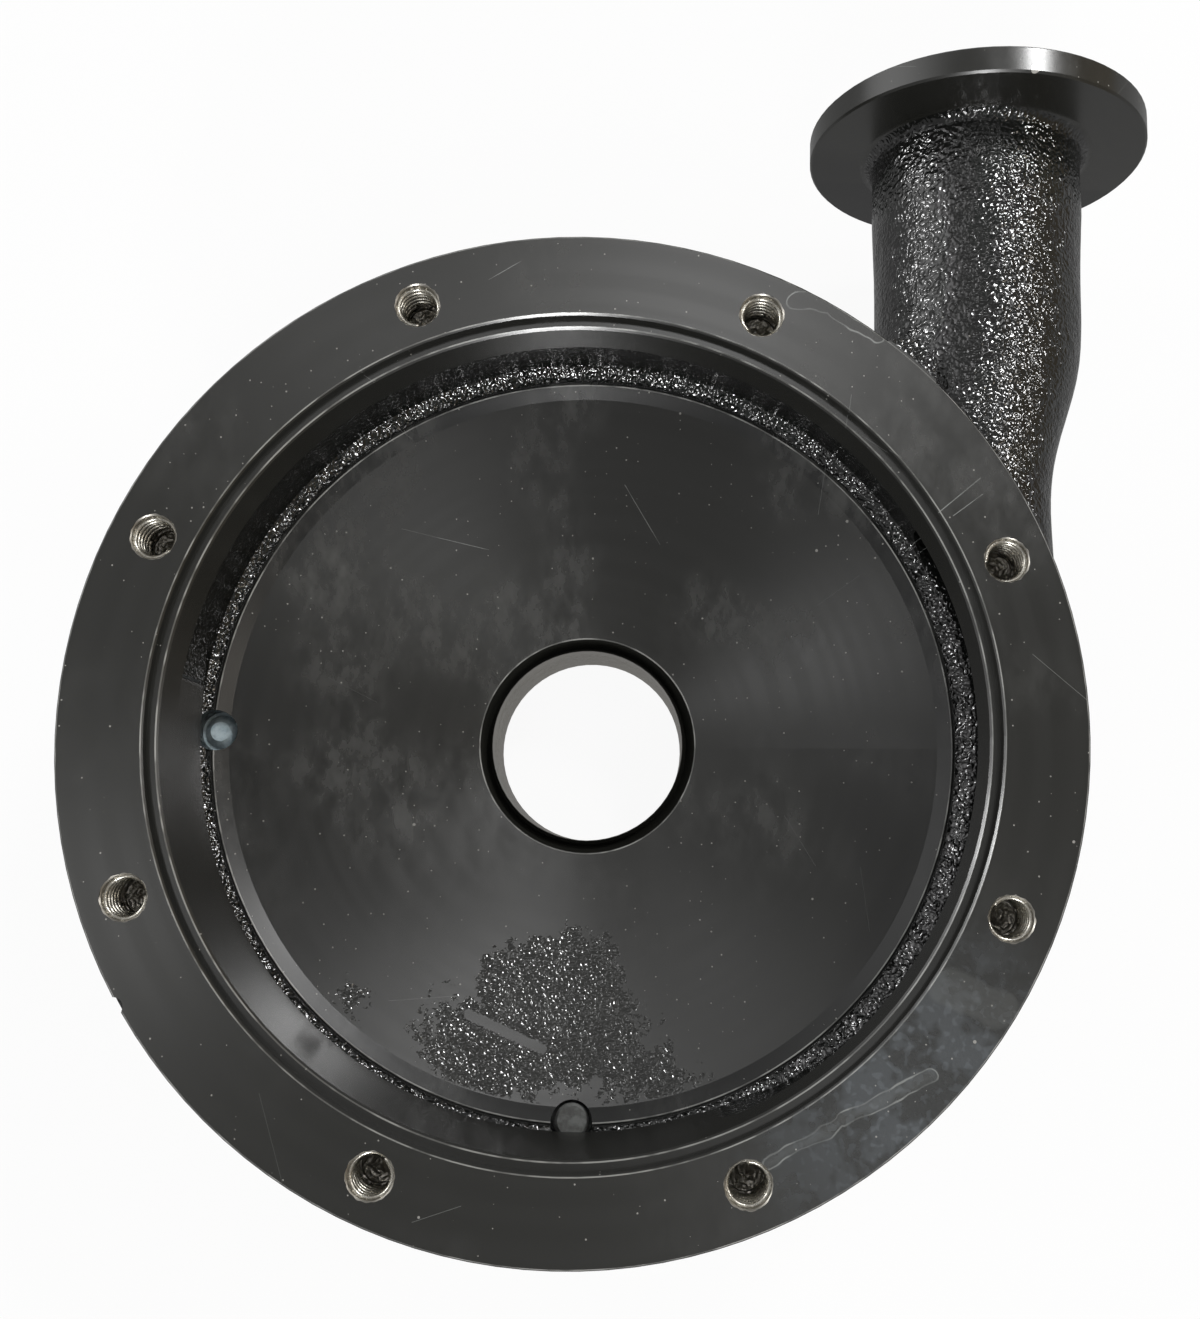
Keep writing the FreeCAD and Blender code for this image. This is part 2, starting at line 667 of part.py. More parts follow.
def add_plug(name, end_depth, tip):
    """A taper-thread plug: hexagon socket, threaded body and a plain end."""
    body = document.addObject("PartDesign::Body", name)
    body.Label = name
    reach = minus("boss_face_depth", end_depth)
    profile = add_sketch(body, "XZ_Plane", name + "_profile")
    add_polygon(profile, [
        ("0", "0"), ("plug_thread_radius", "0"), ("plug_thread_radius", "plug_thread_length"),
        ("plug_end_radius", "plug_thread_length"), ("plug_end_radius", minus(reach, tip)),
        (minus("plug_end_radius", tip), reach), ("0", reach)])
    add_revolution(body, profile, name + "_turned")
    before = body.Shape.Volume
    socket = add_sketch(body, "XY_Plane", name + "_socket")
    flat, corner, shoulder = ("hex_key_width/2", "hex_key_width/1.7320508",
                              "hex_key_width/3.4641016")
    add_polygon(socket, [("0", corner), ("- " + flat, shoulder), ("- " + flat, "- " + shoulder),
                         ("0", "- " + corner), (flat, "- " + shoulder), (flat, shoulder)])
    add_pad(body, socket, name + "_key_hole", "hex_key_depth", kind="Pocket", reverse=True)
    must_change(body, before, -1, name + " socket")
    for letter, size in zip("xyz", PLUG_SPOTS[name] + (BOSS_FACE,)):
        bind(body, "Placement.Base." + letter, size)
    return body


pieces = [
    casing,
    add_plug("vent_plug", "vent_plug_end_depth", "vent_plug_tip"),
    add_plug("drain_plug", "drain_plug_end_depth", "plug_end_round"),
]
document.recompute()

# ------------------------------------------------------------ checks and export

for item in document.Objects:
    if "Invalid" in item.State or "Error" in item.State:
        raise RuntimeError(item.Label + " failed")
os.makedirs("parts", exist_ok=True)
for piece in pieces:
    if piece.Shape.isNull() or not piece.Shape.isValid() or len(piece.Shape.Solids) != 1:
        raise RuntimeError(piece.Label + " is not one sound solid")
for piece in pieces:
    piece.Shape.exportStep("parts/" + piece.Label + ".step")
    box = piece.Shape.BoundBox
    print(f"{piece.Label:14s} volume {piece.Shape.Volume / 1000:8.2f} cm3,"
          f" x {box.XMin:.2f}..{box.XMax:.2f}, y {box.YMin:.2f}..{box.YMax:.2f},"
          f" z {box.ZMin:.2f}..{box.ZMax:.2f}")
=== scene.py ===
# %% [markdown]
# # A volute pump casing, painted black
#
# The casing of a small centrifugal pump is one iron casting. It lies on its
# suction face, with the open side up, so that the machined ring, the scroll
# and the floor round the suction eye all show. Its solids come from the packed
# model, and this lesson gives them their finishes: a sand-cast skin under
# gloss paint, turned faces under a thinner coat, bare metal where the paint
# never went, and the marks of a part that has lain in a workshop.

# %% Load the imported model
import math

import bmesh
import bpy
from mathutils import Euler, Matrix, Vector


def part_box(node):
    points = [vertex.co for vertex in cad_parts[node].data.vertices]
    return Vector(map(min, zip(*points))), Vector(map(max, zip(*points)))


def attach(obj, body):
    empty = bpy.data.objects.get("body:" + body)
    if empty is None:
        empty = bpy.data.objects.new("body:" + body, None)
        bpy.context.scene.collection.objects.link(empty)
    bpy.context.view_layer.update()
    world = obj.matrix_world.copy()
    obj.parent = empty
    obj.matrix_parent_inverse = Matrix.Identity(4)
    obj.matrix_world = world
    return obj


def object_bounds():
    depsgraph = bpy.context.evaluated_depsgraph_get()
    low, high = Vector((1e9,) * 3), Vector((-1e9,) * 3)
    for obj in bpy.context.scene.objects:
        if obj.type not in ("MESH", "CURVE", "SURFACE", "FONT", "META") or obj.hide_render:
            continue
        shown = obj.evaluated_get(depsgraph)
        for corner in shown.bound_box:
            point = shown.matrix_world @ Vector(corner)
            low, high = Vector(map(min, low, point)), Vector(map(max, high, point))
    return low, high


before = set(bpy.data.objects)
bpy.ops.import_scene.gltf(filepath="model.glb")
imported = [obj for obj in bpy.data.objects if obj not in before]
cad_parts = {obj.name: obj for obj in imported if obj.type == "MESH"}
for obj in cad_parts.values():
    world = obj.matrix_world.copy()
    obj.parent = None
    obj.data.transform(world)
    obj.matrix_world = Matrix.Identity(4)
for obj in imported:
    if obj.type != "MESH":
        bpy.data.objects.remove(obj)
cad_low, cad_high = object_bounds()
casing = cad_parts["volute_casing"]
print("pieces:", ", ".join(sorted(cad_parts)))
print("casing spans", [round(side * 1000, 1) for side in cad_high - cad_low], "mm")

# %% [markdown]
# ## The sizes that the finishes need
#
# A finish has to know where the cutting tools went. The casting could be cut
# up into pieces, one for each finish, but the real one is a single piece, and
# a seam would show. So the zones are worked out inside the material from each
# point's place, and they need the few radii and heights at which a tool
# stopped. Everything is in metres, as the model is.

# %% Heights and radii of the machined work
MM = 0.001
FACE = 70.0 * MM
FLANGE_RADIUS = -cad_low.x
REGISTER_RADIUS = 76.5 * MM
BORE_RADIUS = 74.5 * MM
SEAT_HEIGHT = FACE - 33.3 * MM
LAND_RADIUS = 71.7 * MM
LAND_HEIGHT = FACE - 34.6 * MM
REGISTER_STEP = FACE - 2.1 * MM
LEDGE_INSIDE = 74.8 * MM
LEDGE_OUTSIDE = 79.6 * MM
GROOVE_RADIUS = 22.75 * MM
FLOOR_HEIGHT = FACE - 48.3 * MM
EYE_RADIUS = 20.1 * MM
EYE_HEIGHT = FACE - 47.9 * MM
FLOOR_WALL = 6.0 * MM
NOZZLE_X = 77.45 * MM
NOZZLE_HEIGHT = FACE - 22.3 * MM
DISC_BACK = cad_high.y - 5.2 * MM
BURR_WIDTH = 0.30 * MM
floor_slope = (LAND_HEIGHT - FLOOR_HEIGHT) / (LAND_RADIUS - GROOVE_RADIUS)
print("floor cone rises", round(math.degrees(math.atan(floor_slope)), 1), "degrees")

# %% Places of the cover screws
SCREW_COUNT = 8
SCREW_CIRCLE = 83.75 * MM
FIRST_SCREW = math.radians(22.5)
THREAD_RADIUS = 3.97 * MM
THREAD_MINOR = 3.28 * MM
THREAD_PITCH = 25.4 * MM / 18
THREAD_DEPTH = 9.4 * MM
HOLE_DEPTH = 14 * MM
SCREW_STEP = 2 * math.pi / SCREW_COUNT
print(SCREW_COUNT, "screw holes, thread pitch", round(THREAD_PITCH * 1000, 3), "mm")

# %% [markdown]
# ## Small helpers for node trees
#
# A material is easier to read when each line says one thing, such as "the
# distance from the pump axis". These helpers add one node each and give back
# its output, so that a chain of sums reads like the sum itself.

# %% Helpers that add one node each


def add_node(tree, kind, **settings):
    """A shader node of a kind, with its settings."""
    made = tree.nodes.new("ShaderNode" + kind)
    for name, value in settings.items():
        setattr(made, name, value)
    return made


def feed(tree, socket, value):
    """Links an output to a socket, or sets the socket's own value."""
    if isinstance(value, bpy.types.NodeSocket):
        tree.links.new(value, socket)
    else:
        socket.default_value = value


def maths(tree, operation, *values, clamp=False):
    """A sum on numbers, each of them an output or a plain number."""
    made = add_node(tree, "Math", operation=operation, use_clamp=clamp)
    for socket, value in zip(made.inputs, values):
        feed(tree, socket, value)
    return made.outputs["Value"]


def vector_maths(tree, operation, *values):
    """A sum on vectors; lengths and products come back as one number."""
    made = add_node(tree, "VectorMath", operation=operation)
    for socket, value in zip(made.inputs, values):
        feed(tree, socket, value)
    if operation in ("DOT_PRODUCT", "LENGTH", "DISTANCE"):
        return made.outputs["Value"]
    return made.outputs["Vector"]


def ramp(tree, value, start, end, low=0.0, high=1.0):
    """A soft step from low to high while the value goes from start to end."""
    if start > end:
        start, end, low, high = end, start, high, low
    made = add_node(tree, "MapRange", interpolation_type="SMOOTHSTEP")
    feed(tree, made.inputs["Value"], value)
    for name, number in (("From Min", start), ("From Max", end),
                         ("To Min", low), ("To Max", high)):
        made.inputs[name].default_value = number
    return made.outputs["Result"]


def blend(tree, amount, first, second):
    """One colour going over to another."""
    made = add_node(tree, "Mix", data_type="RGBA")
    for number, value in ((0, amount), (6, first), (7, second)):
        feed(tree, made.inputs[number], value)
    return made.outputs[2]


def blend_value(tree, amount, first, second):
    """One number going over to another."""
    made = add_node(tree, "Mix", data_type="FLOAT")
    for number, value in ((0, amount), (2, first), (3, second)):
        feed(tree, made.inputs[number], value)
    return made.outputs[0]


def noise(tree, place, scale, detail=1.0, roughness=0.5, flat=False):
    """Soft noise; a flat one has no height, which is enough for a level face."""
    made = add_node(tree, "TexNoise", noise_dimensions="2D" if flat else "3D")
    for name, value in (("Vector", place), ("Scale", scale), ("Detail", detail),
                        ("Roughness", roughness)):
        feed(tree, made.inputs[name], value)
    return made.outputs["Fac"]


def flattened(tree, place):
    """The place with its height taken away."""
    return vector_maths(tree, "MULTIPLY", place, (1.0, 1.0, 0.0))


def parts_of(tree, place):
    """The three parts of a vector."""
    made = add_node(tree, "SeparateXYZ")
    feed(tree, made.inputs[0], place)
    return made.outputs[0], made.outputs[1], made.outputs[2]


def point(tree, x, y, z=0.0):
    """A vector from its parts."""
    made = add_node(tree, "CombineXYZ")
    for socket, value in zip(made.inputs, (x, y, z)):
        feed(tree, socket, value)
    return made.outputs[0]


print("node helpers ready")

# %% Helper that starts a node group


def start_group(name, inputs, outputs):
    """A shader node group with named sockets; returns it and its two ends."""
    group = bpy.data.node_groups.new(name, "ShaderNodeTree")
    for label, kind in inputs:
        group.interface.new_socket(label, in_out="INPUT",
                                   socket_type="NodeSocket" + kind)
    for label, kind in outputs:
        group.interface.new_socket(label, in_out="OUTPUT",
                                   socket_type="NodeSocket" + kind)
    return (group, group.nodes.new("NodeGroupInput").outputs,
            group.nodes.new("NodeGroupOutput").inputs)


def place_group(tree, group, **values):
    """Puts a group in a tree; an underscore in a name stands for a space."""
    made = tree.nodes.new("ShaderNodeGroup")
    made.node_tree = group
    for name, value in values.items():
        feed(tree, made.inputs[name.replace("_", " ")], value)
    return made.outputs


print("group helpers ready")

# %% [markdown]
# ## Single strokes
#
# Some marks have a place of their own: a few scratches by one screw hole, the
# outlines that a wet rag left, a run of dried fluid, the patch that the tool
# missed. Each is one or more short strokes from one point to another. The
# group gives the distance to a stroke's edge, below zero inside it. The least
# of several distances joins strokes into one shape, whose body and pale edge
# are then read off together.

# %% Stroke group
stroke, given, result = start_group(
    "Stroke", [("Place", "Vector"), ("Start", "Vector"), ("End", "Vector"),
               ("Width", "Float")], [("Distance", "Float")])
reach = vector_maths(stroke, "SUBTRACT", given["Place"], given["Start"])
whole = vector_maths(stroke, "SUBTRACT", given["End"], given["Start"])
share = maths(stroke, "DIVIDE", vector_maths(stroke, "DOT_PRODUCT", reach, whole),
              vector_maths(stroke, "DOT_PRODUCT", whole, whole), clamp=True)
foot = vector_maths(stroke, "SCALE", whole)
feed(stroke, foot.node.inputs["Scale"], share)
feed(stroke, result["Distance"], maths(
    stroke, "SUBTRACT", vector_maths(stroke, "DISTANCE", reach, foot), given["Width"]))


def spot(pair):
    """A place on the level plane, given in millimetres."""
    return Vector((pair[0] * MM, pair[1] * MM, 0.0))


def distance_to(tree, strokes, place):
    """Distance to the nearest edge of a family of strokes."""
    nearest = 1.0
    for start, end, width in strokes:
        made = place_group(tree, stroke, Place=place, Start=spot(start),
                           End=spot(end), Width=width * MM)
        nearest = maths(tree, "MINIMUM", nearest, made["Distance"])
    return nearest


print("stroke group:", len(stroke.nodes), "nodes")

# %% [markdown]
# ## Where each finish lies
#
# The casing was poured, then turned on a lathe, then painted with its bores
# plugged. Three masks say so. The first is 1 wherever the lathe or the drill
# went: the cover face, the bore, the floor and the discharge flange. The
# second is 1 where the metal is bare: the suction bore, and each tapped hole
# with the thin ring of burr round its mouth. The eight holes share one sum,
# because the angle round the axis is folded into one eighth of a turn. The
# third is the patch of floor that the tool just missed, so that the sand
# skin still shows. The group also gives the distance from the pump axis and
# a mask of the bore, which the material needs again.

# %% Masks of the machined and bare zones
zones, given, result = start_group(
    "Casting zones", [("Place", "Vector")],
    [("Machined", "Float"), ("Bare", "Float"), ("Radius", "Float"),
     ("Missed", "Float"), ("Inside", "Float")])
x, y, z = parts_of(zones, given["Place"])
level = flattened(zones, given["Place"])
radius = vector_maths(zones, "LENGTH", level)
on_face = maths(zones, "MULTIPLY",
                maths(zones, "LESS_THAN", radius, FLANGE_RADIUS + 0.2 * MM),
                ramp(zones, z, FACE - 0.3 * MM, FACE - 0.2 * MM))
in_bore = ramp(zones, radius, BORE_RADIUS + 0.6 * MM, BORE_RADIUS + 0.4 * MM)
in_register = maths(
    zones, "MULTIPLY", ramp(zones, z, REGISTER_STEP - 0.8 * MM, REGISTER_STEP - 0.7 * MM),
    ramp(zones, radius, REGISTER_RADIUS + 0.6 * MM, REGISTER_RADIUS + 0.5 * MM))
middle_of_wall = maths(zones, "MULTIPLY_ADD", radius, floor_slope,
                       FLOOR_HEIGHT - GROOVE_RADIUS * floor_slope - FLOOR_WALL / 2)
in_bore = maths(zones, "MULTIPLY", in_bore,
                maths(zones, "GREATER_THAN", z, middle_of_wall))
disc = ramp(zones, y, DISC_BACK - 0.3 * MM, DISC_BACK - 0.1 * MM)
machined = maths(zones, "MAXIMUM", maths(zones, "MAXIMUM", on_face, in_bore),
                 maths(zones, "MAXIMUM", in_register, disc))

angle = maths(zones, "ARCTAN2", y, x)
fold = maths(zones, "SUBTRACT", maths(zones, "WRAP", angle, SCREW_STEP, 0.0),
             SCREW_STEP / 2)
hole_x = maths(zones, "MULTIPLY_ADD", radius, maths(zones, "COSINE", fold), -SCREW_CIRCLE)
hole_y = maths(zones, "MULTIPLY", radius, maths(zones, "SINE", fold))
hole_distance = vector_maths(zones, "LENGTH", point(zones, hole_x, hole_y))
burr = noise(zones, level, 900.0, 0.0, flat=True)
burr_edge = maths(zones, "MULTIPLY_ADD", burr, BURR_WIDTH, THREAD_RADIUS + 0.08 * MM)
in_hole = maths(zones, "MULTIPLY",
                maths(zones, "LESS_THAN", hole_distance, burr_edge),
                maths(zones, "GREATER_THAN", z, FACE - HOLE_DEPTH))
in_eye = maths(zones, "MULTIPLY",
               maths(zones, "LESS_THAN", radius, EYE_RADIUS + 0.2 * MM),
               ramp(zones, z, EYE_HEIGHT + 0.1 * MM, EYE_HEIGHT - 0.15 * MM))
print("hole", SCREW_CIRCLE / MM, "mm from the axis, the first at",
      math.degrees(FIRST_SCREW), "degrees")

# %% Mask of the missed patch, with a ragged edge of loose grains
PATCH = [((-21.0, -60.5), (4.0, -59.0), 8.5), ((-8.0, -52.0), (-2.0, -50.0), 11.0),
         ((8.0, -65.0), (21.0, -66.5), 3.6), ((-44.0, -53.5), (-42.5, -51.0), 0.6)]
SCRAPE = [((-21.4, -55.0), (-6.5, -61.2), 0.8)]
RAGGED_BY = 22.0 * MM
GROWN_BY = 12.0 * MM
ragged = noise(zones, level, 150.0, 4.0, 0.9, flat=True)
ragged = maths(zones, "MULTIPLY_ADD", ragged, RAGGED_BY, -GROWN_BY)
outside = maths(zones, "ADD", distance_to(zones, PATCH, level), ragged)
scraped = distance_to(zones, SCRAPE, level)
outside = maths(zones, "MAXIMUM", outside, maths(zones, "MULTIPLY", scraped, -1.0))
missed = maths(zones, "MULTIPLY", ramp(zones, outside, 0.2 * MM, -0.6 * MM),
               ramp(zones, radius, LAND_RADIUS + 0.2 * MM, LAND_RADIUS - 1.0 * MM))

feed(zones, result["Machined"], machined)
feed(zones, result["Bare"], maths(zones, "MAXIMUM", in_hole, in_eye))
feed(zones, result["Radius"], radius)
feed(zones, result["Missed"], missed)
feed(zones, result["Inside"], in_bore)
print("zone masks:", len(zones.nodes), "nodes")

# %% [markdown]
# ## The sand-cast skin
#
# Molten iron copies the sand grains of its mould, and thick gloss paint then
# rounds the grains off into an orange peel. Two sizes of bump make it: round
# grains under a millimetre wide, which catch the light one by one, and a
# slower swell under them. A cell texture gives round grains too, but it looks
# like leather. Folding a soft noise at its middle does it: the distance from
# the middle value is a crowd of domes with narrow valleys between them.

# %% Sand-cast skin
skin, given, result = start_group(
    "Sand-cast skin", [("Place", "Vector"), ("Grain", "Float")],
    [("Height", "Float")])
grains = noise(skin, given["Place"], given["Grain"], 1.0, 0.45)
domes = maths(skin, "ABSOLUTE", maths(skin, "SUBTRACT", grains, 0.5))
swell = noise(skin, given["Place"], 250.0, 0.0)
feed(skin, result["Height"], maths(skin, "MULTIPLY_ADD", domes, 2.0, swell))
print("sand-cast skin:", len(skin.nodes), "nodes")

# %% [markdown]
# ## The turned finish
#
# A lathe tool leaves rings about the axis it turned on. They could be a sine
# of the radius, but a real feed wanders, so a noise that is read only along
# the radius makes rings of uneven strength. The same group serves the cover
# side, turned about the pump axis, and the discharge flange, turned about the
# nozzle's: the radius is an input.

# %% Turned finish
turned, given, result = start_group(
    "Turned finish", [("Radius", "Float")], [("Height", "Float"), ("Streak", "Float")])


def rings(scale, detail):
    """Noise that is read only along the radius."""
    made = add_node(turned, "TexNoise", noise_dimensions="1D")
    for name, value in (("W", given["Radius"]), ("Scale", scale), ("Detail", detail)):
        feed(turned, made.inputs[name], value)
    return made.outputs["Fac"]


feed(turned, result["Height"], rings(1600.0, 1.0))
feed(turned, result["Streak"], ramp(turned, rings(330.0, 0.0), 0.35, 0.65))
print("turned finish:", len(turned.nodes), "nodes")

# %% [markdown]
# ## Dust, haze and hairline scratches
#
# Handling leaves three kinds of mark on black paint: pale smudges where hands
# and rags went, single grains of dust, and hairline scratches. The scratches
# come from a cell texture. Each cell gives its own centre and a random number,
# which turns a thin line through that centre, and only a few cells are kept.

# %% Workshop marks
marks, given, result = start_group(
    "Workshop marks", [("Place", "Vector"), ("Level", "Float")],
    [("Haze", "Float"), ("Dust", "Float"), ("Scratches", "Float")])
flat = flattened(marks, given["Place"])
cloud = noise(marks, flat, 30.0, 1.0, 0.6, flat=True)
wiped = add_node(marks, "Mapping")
feed(marks, wiped.inputs["Vector"], flat)
wiped.inputs["Rotation"].default_value = (0.0, 0.0, math.radians(38.0))
wiped.inputs["Scale"].default_value = (1.0, 0.55, 1.0)
wisps = noise(marks, wiped.outputs["Vector"], 190.0, 3.0, 0.72, flat=True)
feed(marks, result["Haze"],
     maths(marks, "MULTIPLY", ramp(marks, cloud, 0.38, 0.74),
           ramp(marks, wisps, 0.28, 0.82)))


def flat_cells(tree, place, scale):
    """A cell texture on the level plane: distance, middle, three random numbers."""
    cell = add_node(tree, "TexVoronoi", voronoi_dimensions="2D")
    feed(tree, cell.inputs["Vector"], place)
    cell.inputs["Scale"].default_value = scale
    lots = parts_of(tree, cell.outputs["Color"])
    return cell.outputs["Distance"], cell.outputs["Position"], lots


def scattered(tree, place, scale, keep, radius):
    """Dots of up to a radius in a few of the cells; returns the mask."""
    distance, _, (luck, size, _) = flat_cells(tree, place, scale)
    reach = maths(tree, "MULTIPLY", size, radius * scale)
    dot = maths(tree, "LESS_THAN", distance, reach)
    return maths(tree, "MULTIPLY", dot, maths(tree, "LESS_THAN", luck, keep))


fine_dust = scattered(marks, flat, 450.0, 0.18, 0.17 * MM)
grit = scattered(marks, flat, 170.0, 0.045, 0.30 * MM)
feed(marks, result["Dust"], maths(marks, "MULTIPLY", given["Level"],
                                  maths(marks, "MAXIMUM", fine_dust, grit)))

HAIRLINE = 0.05 * MM
KEPT_HAIRLINES = 0.07
_, middle_of_cell, (turn, luck, faint) = flat_cells(marks, flat, 95.0)
away = vector_maths(marks, "SUBTRACT", flat, middle_of_cell)
turn = maths(marks, "MULTIPLY", turn, math.pi)
across_line = point(marks, maths(marks, "SINE", turn), maths(marks, "COSINE", turn))
off_line = maths(marks, "ABSOLUTE", vector_maths(marks, "DOT_PRODUCT", away, across_line))
line = maths(marks, "LESS_THAN", off_line, HAIRLINE)
kept = maths(marks, "LESS_THAN", luck, KEPT_HAIRLINES)
line = maths(marks, "MULTIPLY", maths(marks, "MULTIPLY", line, kept), given["Level"])
feed(marks, result["Scratches"], maths(marks, "MULTIPLY", line, faint))
print("workshop marks:", len(marks.nodes), "nodes")

# %% [markdown]
# ## The casing's material
#
# One material covers the whole casting, because it is one piece under one
# coat of paint. It starts from the object's own coordinates, asks the groups
# for their masks, and lays the finishes over each other in the order that the
# real ones came: paint on cast skin, paint on turned metal, bare iron, then
# wear and dirt. Black paint has little colour of its own, and what the eye
# reads as its tone is the room in it, so roughness and bump matter most.

# %% Start the casing's material


def start_material(name):
    """An empty material with its shader; returns the tree, shader and place."""
    material = bpy.data.materials.new(name)
    material.use_nodes = True
    tree = material.node_tree
    shader = tree.nodes["Principled BSDF"]
    place = add_node(tree, "TexCoord").outputs["Object"]
    return material, tree, shader, place


GRAIN_SCALE = 700.0
FINER_INSIDE = 240.0
paint, tree, shader, place = start_material("black_painted_iron")
zone = place_group(tree, zones, Place=place)
grain = maths(tree, "MULTIPLY_ADD", zone["Inside"], FINER_INSIDE, GRAIN_SCALE)
cast = place_group(tree, skin, Place=place, Grain=grain)
x, y, z = parts_of(tree, place)
from_nozzle = vector_maths(tree, "LENGTH", point(
    tree, maths(tree, "SUBTRACT", x, NOZZLE_X),
    maths(tree, "SUBTRACT", z, NOZZLE_HEIGHT)))
on_disc = maths(tree, "GREATER_THAN", y, DISC_BACK - 0.2 * MM)
lathe = place_group(
    tree, turned, Radius=blend_value(tree, on_disc, zone["Radius"], from_nozzle))
facing = add_node(tree, "TexCoord").outputs["Normal"]
upward = ramp(tree, parts_of(tree, facing)[2], 0.5, 0.8)
dirt = place_group(tree, marks, Place=place, Level=upward)
smooth = maths(tree, "MULTIPLY", zone["Machined"],
               maths(tree, "SUBTRACT", 1.0, zone["Missed"]))
print("casing material started with", len(tree.nodes), "nodes")

# %% [markdown]
# ## Rubbed edges
#
# Where a sharp turned edge stands up, paint is thin and hands polish it, and the
# rounded edge catches the light, so it shows as a fine pale line: partly worn
# paint, partly a painted highlight. A line could be a separate ring, but it has
# no thickness, so it is a narrow band in the material at each edge's radius and
# height, broken up by noise.

# %% Worn and highlit edges as narrow bands, partly a painted highlight
EDGES = {"register mouth": (REGISTER_RADIUS + 0.3 * MM, FACE),
         "register step": (BORE_RADIUS + 0.4 * MM, REGISTER_STEP),
         "seat": (BORE_RADIUS - 0.1 * MM, SEAT_HEIGHT),
         "groove": (GROOVE_RADIUS + 0.1 * MM, FLOOR_HEIGHT),
         "eye": (EYE_RADIUS + 0.1 * MM, EYE_HEIGHT),
         "flange": (FLANGE_RADIUS - 0.3 * MM, FACE - 0.1 * MM)}
section = point(tree, zone["Radius"], 0.0, z)
from_edge = 1.0
for radius, height in EDGES.values():
    off = vector_maths(tree, "DISTANCE", section, (radius, 0.0, height))
    from_edge = maths(tree, "MINIMUM", from_edge, off)
flat = flattened(tree, place)
broken = noise(tree, flat, 110.0, 2.0, 0.7, flat=True)
broken = ramp(tree, broken, 0.40, 0.62, 0.30, 1.0)
# Pale band at each edge: partly paint worn thin, partly a painted highlight
rubbed_and_highlit = maths(tree, "MULTIPLY", ramp(tree, from_edge, 0.20 * MM, 0.08 * MM), broken)
print(len(EDGES), "rubbed edges")

# %% [markdown]
# ## Marks with a place of their own
#
# The lists hold the marks that this casing carries: two scratches near a
# screw hole, one on the far side, two on the floor, the thin outlines beside
# the nozzle, and the run of dried fluid. Each is two ends and a half width,
# in millimetres. They are ordinary handling marks and spell nothing.

# %% Strokes on the cover face and the floor
SCRATCHES = [((65.0, 40.6), (72.6, 47.2), 0.09), ((67.6, 40.0), (73.0, 44.2), 0.07),
             ((-19.0, 82.8), (-13.2, 86.6), 0.06), ((6.5, 54.7), (14.3, 42.6), 0.05),
             ((-40.0, 43.6), (-22.0, 40.4), 0.05)]
LOOP = [((38.6, 80.6), (44.6, 79.9), 1.7), ((45.2, 79.0), (53.4, 73.6), 1.2)]
RUNS = [((35.6, -73.6), (48.0, -66.6), 0.9), ((48.0, -66.6), (62.9, -58.7), 1.2)]
POOLS = [((66.0, -43.6), (75.4, -47.6), 3.4)]

wobble = add_node(tree, "TexNoise", noise_dimensions="2D")
feed(tree, wobble.inputs["Vector"], flat)
wobble.inputs["Scale"].default_value = 210.0
wobble.inputs["Detail"].default_value = 1.0
WOBBLE = 1.6 * MM
wobble = vector_maths(tree, "SUBTRACT", wobble.outputs["Color"], (0.5, 0.5, 0.5))
wobble = vector_maths(tree, "MULTIPLY", wobble, (WOBBLE, WOBBLE, 0.0))
wavy = vector_maths(tree, "ADD", flat, wobble)
on_cover = maths(tree, "MULTIPLY", maths(tree, "GREATER_THAN", z, FACE - 0.25 * MM),
                 maths(tree, "LESS_THAN", y, DISC_BACK - 1 * MM))
scratched = maths(tree, "LESS_THAN", distance_to(tree, SCRATCHES, flat), 0.01 * MM)
scratched = maths(tree, "MULTIPLY", scratched, broken)
run_distance = distance_to(tree, RUNS, wavy)
outline = maths(tree, "ABSOLUTE", maths(tree, "MINIMUM", run_distance,
                                        distance_to(tree, LOOP, wavy)))
outlined = maths(tree, "MULTIPLY", ramp(tree, outline, 0.22 * MM, 0.04 * MM),
                 maths(tree, "MULTIPLY", broken, on_cover))
pool_distance = distance_to(tree, POOLS, wavy)
soaked = maths(tree, "MULTIPLY", on_cover, ramp(
    tree, maths(tree, "MINIMUM", run_distance, pool_distance), 0.3 * MM, -0.8 * MM))
print(len(SCRATCHES), "scratches,", len(RUNS), "runs")

# %% The worn, bleached quarter of the cover face
SPECKLE_SHARE = 0.55
bleach = noise(tree, flat, 85.0, 3.0, 0.75, flat=True)
speckle = ramp(tree, noise(tree, flat, 600.0, 1.0, 0.6, flat=True), 0.55, 0.68)
worn_spot = vector_maths(tree, "DISTANCE", flat, spot((60.0, -62.0)))
worn = maths(tree, "MULTIPLY", ramp(tree, worn_spot, 38 * MM, 8 * MM), on_cover)
bleached = maths(tree, "MULTIPLY", worn, ramp(tree, bleach, 0.42, 0.57, 0.22, 1.0))
speckle = maths(tree, "MULTIPLY", speckle, worn)
bleached = maths(tree, "MULTIPLY_ADD", speckle, SPECKLE_SHARE, bleached)
print("worn quarter added")

# %% A chip down to the iron on the rim of the discharge flange
CHIP_PLACE = (80.4 * MM, 121.9 * MM, 81.4 * MM)
CHIP_SIZE = 0.8 * MM
chip = vector_maths(tree, "ADD", place, wobble)
chip = vector_maths(tree, "DISTANCE", chip, CHIP_PLACE)
chipped = maths(tree, "LESS_THAN", chip, CHIP_SIZE)
print("chip at", [round(side * 1000) for side in CHIP_PLACE], "mm")

